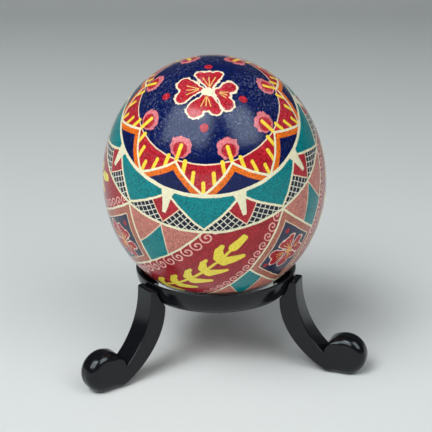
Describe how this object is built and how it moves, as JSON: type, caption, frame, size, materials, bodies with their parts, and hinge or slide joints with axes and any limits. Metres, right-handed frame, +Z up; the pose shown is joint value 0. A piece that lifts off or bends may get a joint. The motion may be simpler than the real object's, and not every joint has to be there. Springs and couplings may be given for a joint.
{
  "type": "decorated egg on stand",
  "caption": "Blown chicken egg with a wax-resist dyed geometric and floral pattern, resting tilted in the ring of a black plastic stand with scroll-footed legs.",
  "frame": {"origin": "centre of the whole object's footprint, on the surface it stands on", "axes": "+Z up, +Y towards the single back leg, +X to the right leg's side"},
  "size_m": [0.0576, 0.0608, 0.0645],
  "materials": {
    "dyed_shell": "wax-resist dyed eggshell under a satin varnish",
    "stand_plastic": "moulded black plastic, glossy"
  },
  "bodies": {
    "stand": {"support_ring": "stand_plastic", "leg_left": "stand_plastic", "leg_right": "stand_plastic", "leg_back": "stand_plastic"},
    "egg": {"egg_shell": "dyed_shell"}
  },
  "joints": [
    {"name": "egg_lift", "type": "slide", "parent": "stand", "child": "egg", "axis": [0, 0, 1], "range_m": [0, 0.05]}
  ]
}
